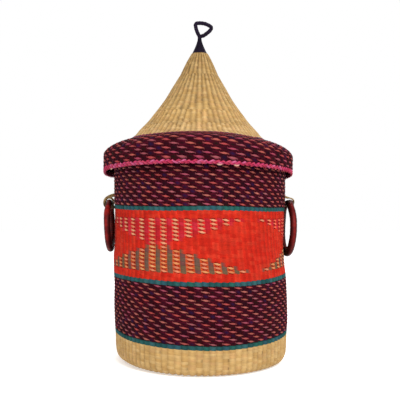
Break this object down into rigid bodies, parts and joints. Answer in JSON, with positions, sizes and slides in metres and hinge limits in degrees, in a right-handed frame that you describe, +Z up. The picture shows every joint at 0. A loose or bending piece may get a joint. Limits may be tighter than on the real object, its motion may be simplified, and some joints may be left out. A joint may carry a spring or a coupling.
{
  "type": "lidded laundry basket",
  "caption": "Tall round twined-grass laundry basket with a flat foot, a lift-off peaked lid with a leather finial, and leather ring handles at its sides.",
  "frame": {"origin": "middle of the flat foot, on the surface it stands on", "axes": "+Z up to the finial; +X through the right ring handle; -Y faces the camera of the picture"},
  "size_m": [0.4212, 0.4124, 0.7406],
  "materials": {
    "straw_weave": "matte",
    "flecked_weave": "matte",
    "teal_weave": "matte",
    "red_weave": "matte",
    "purple_weave": "matte",
    "pink_braid": "matte",
    "brown_leather": "satin",
    "black_leather": "satin",
    "grass_stake": "matte"
  },
  "bodies": {
    "basket": {"base_floor": "straw_weave", "base_corner": "straw_weave", "base_band_natural": "straw_weave", "teal_line_low": "teal_weave", "fleck_band_low": "flecked_weave", "teal_line_mid": "teal_weave", "diamond_band": "red_weave", "teal_line_high": "teal_weave", "fleck_band_high": "flecked_weave", "body_inner_floor": "straw_weave", "body_inner_corner": "straw_weave", "body_inner_weave": "flecked_weave", "body_stakes": "grass_stake", "body_rim_braid": "purple_weave", "handle_loop_left": "straw_weave", "handle_loop_right": "straw_weave"},
    "lid": {"lid_skirt_band": "flecked_weave", "lid_brim_band": "flecked_weave", "lid_border_row": "purple_weave", "lid_cone_weave": "straw_weave", "lid_inner_skirt": "flecked_weave", "lid_inner_brim": "flecked_weave", "lid_inner_cone": "straw_weave", "lid_stakes": "grass_stake", "lid_edge_braid": "pink_braid", "finial_cap": "black_leather", "finial_loop": "black_leather"},
    "ring_left": {"handle_leather_left": "brown_leather", "handle_core_left": "grass_stake"},
    "ring_right": {"handle_leather_right": "brown_leather", "handle_core_right": "grass_stake"}
  },
  "joints": [
    {"name": "lid_lift", "type": "slide", "parent": "basket", "child": "lid", "axis": [0, 0, 1], "range_m": [0, 0.3]},
    {"name": "handle_left_swing", "type": "hinge", "parent": "basket", "child": "ring_left", "pos_m": [-0.1987, 0, 0.3425], "axis": [0, 1, 0], "range_deg": [0, 160]},
    {"name": "handle_right_swing", "type": "hinge", "parent": "basket", "child": "ring_right", "pos_m": [0.1987, 0, 0.3425], "axis": [0, -1, 0], "range_deg": [0, 160]}
  ]
}
